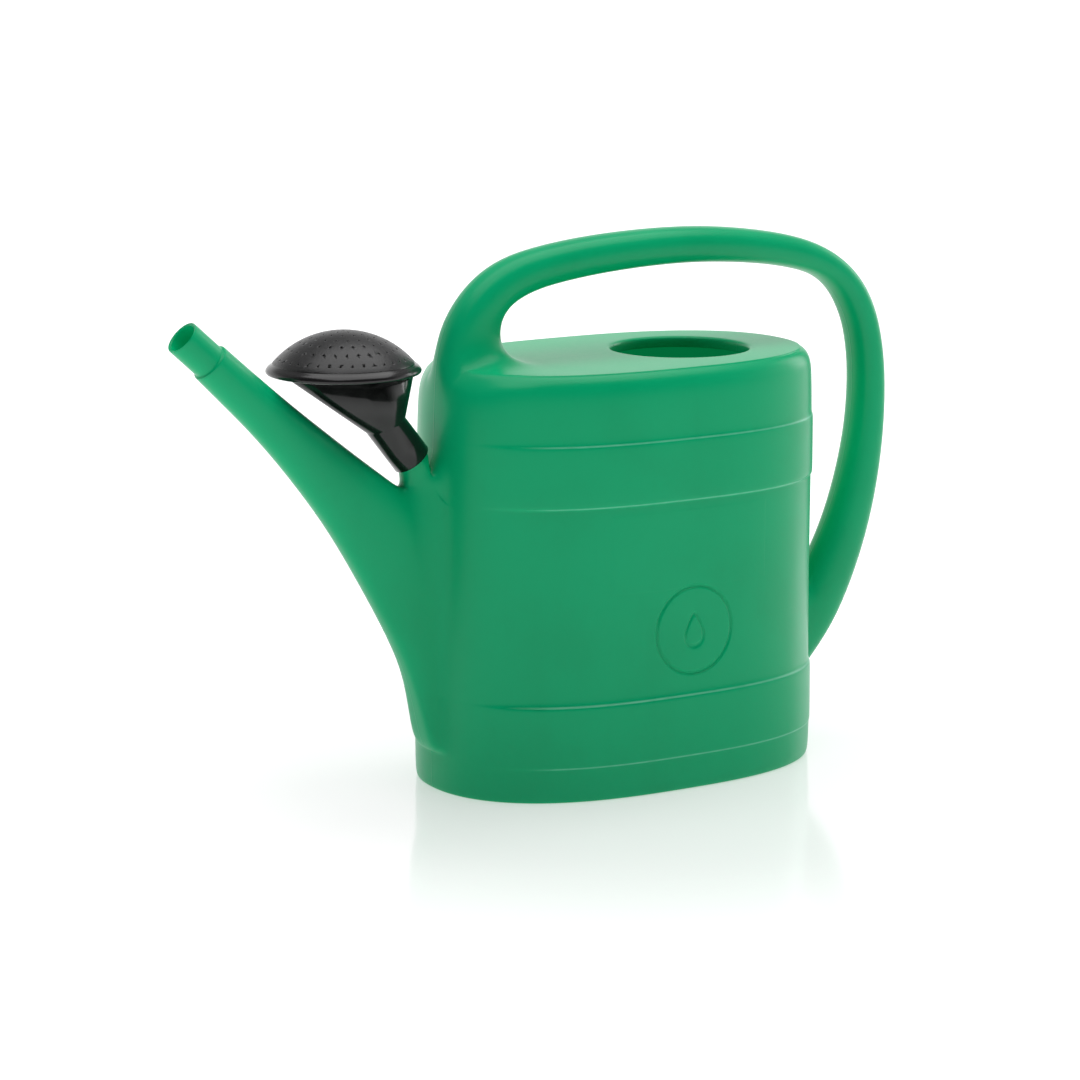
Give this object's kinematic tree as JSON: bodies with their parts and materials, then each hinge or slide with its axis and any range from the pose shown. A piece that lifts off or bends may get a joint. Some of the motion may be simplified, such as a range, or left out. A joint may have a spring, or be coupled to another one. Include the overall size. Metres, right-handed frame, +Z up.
{
  "type": "watering can",
  "caption": "Oval moulded watering can with a looped hollow handle, a deep spout, a round fill hole and a removable domed rose parked on a peg.",
  "frame": {"origin": "centre of the foot, on the surface the can stands on", "axes": "+Z up; the spout points to -X and the handle's rear leg stands over +X; XZ is the plane of symmetry"},
  "size_m": [0.5871, 0.192, 0.3941],
  "materials": {
    "can_body": "satin moulded polyethylene, green, faintly uneven",
    "rose_funnel": "gloss injection-moulded black",
    "rose_face": "fine spark-textured black with a smooth skirt"
  },
  "bodies": {
    "can": {"tank": "can_body", "handle": "can_body", "spout": "can_body", "rose_peg": "can_body"},
    "rose": {"rose_funnel": "rose_funnel"},
    "face": {"rose_face": "rose_face"}
  },
  "joints": [
    {"name": "rose_pull", "type": "slide", "parent": "can", "child": "rose", "axis": [-0.6157, 0, 0.788], "range_m": [0, 0.045]},
    {"name": "face_pull", "type": "slide", "parent": "rose", "child": "face", "axis": [0, 0, 1], "range_m": [0, 0.02]}
  ]
}
